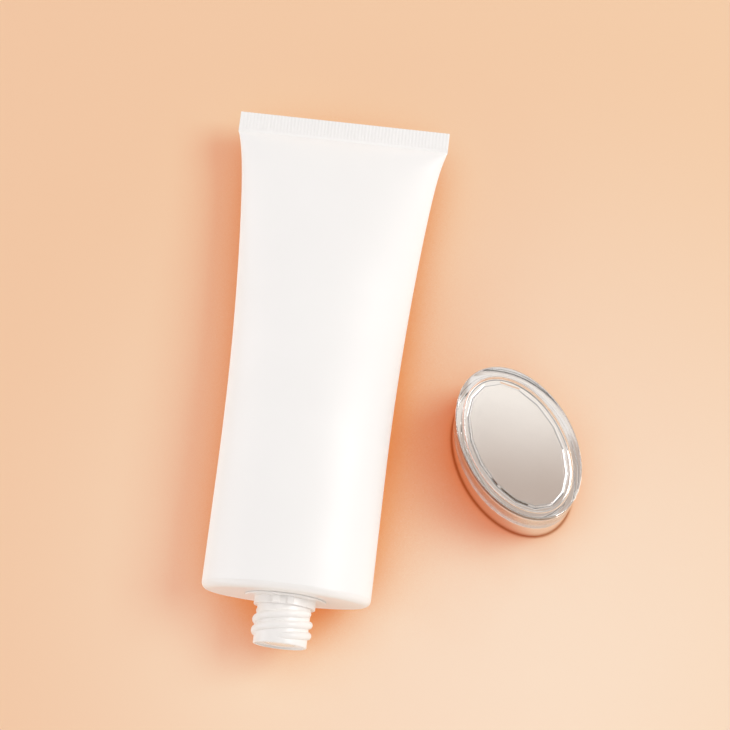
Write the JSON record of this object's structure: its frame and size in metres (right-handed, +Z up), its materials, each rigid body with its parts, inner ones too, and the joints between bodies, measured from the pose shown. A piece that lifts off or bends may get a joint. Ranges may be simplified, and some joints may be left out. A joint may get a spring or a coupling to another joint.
{
  "type": "face cream tube",
  "caption": "Oval plastic squeeze tube with a flat ribbed tail and a threaded neck, lying beside its unscrewed oval cap with a clear shell over a silver mirror plate.",
  "frame": {"origin": "centre of the bottom of the box round the lying tube and the standing cap, on the surface that they rest on", "axes": "+Y along the tube from its mouth to its crimped tail, +Z up from the surface, +X from the tube towards its cap"},
  "size_m": [0.11, 0.1574, 0.031],
  "materials": {
    "white_sleeve": "satin extruded polyethylene, a little translucent",
    "white_moulding": "smooth moulded polyethylene",
    "cream": "moist white cream",
    "clear_acrylic": "polished clear acrylic",
    "silver_plate": "vacuum-plated mirror silver"
  },
  "bodies": {
    "root": {"tube_sleeve": "white_sleeve", "tube_head": "white_moulding", "cream": "cream", "cap_shell": "clear_acrylic", "cap_plated_cup": "silver_plate", "cap_liner": "white_moulding"}
  },
  "joints": []
}
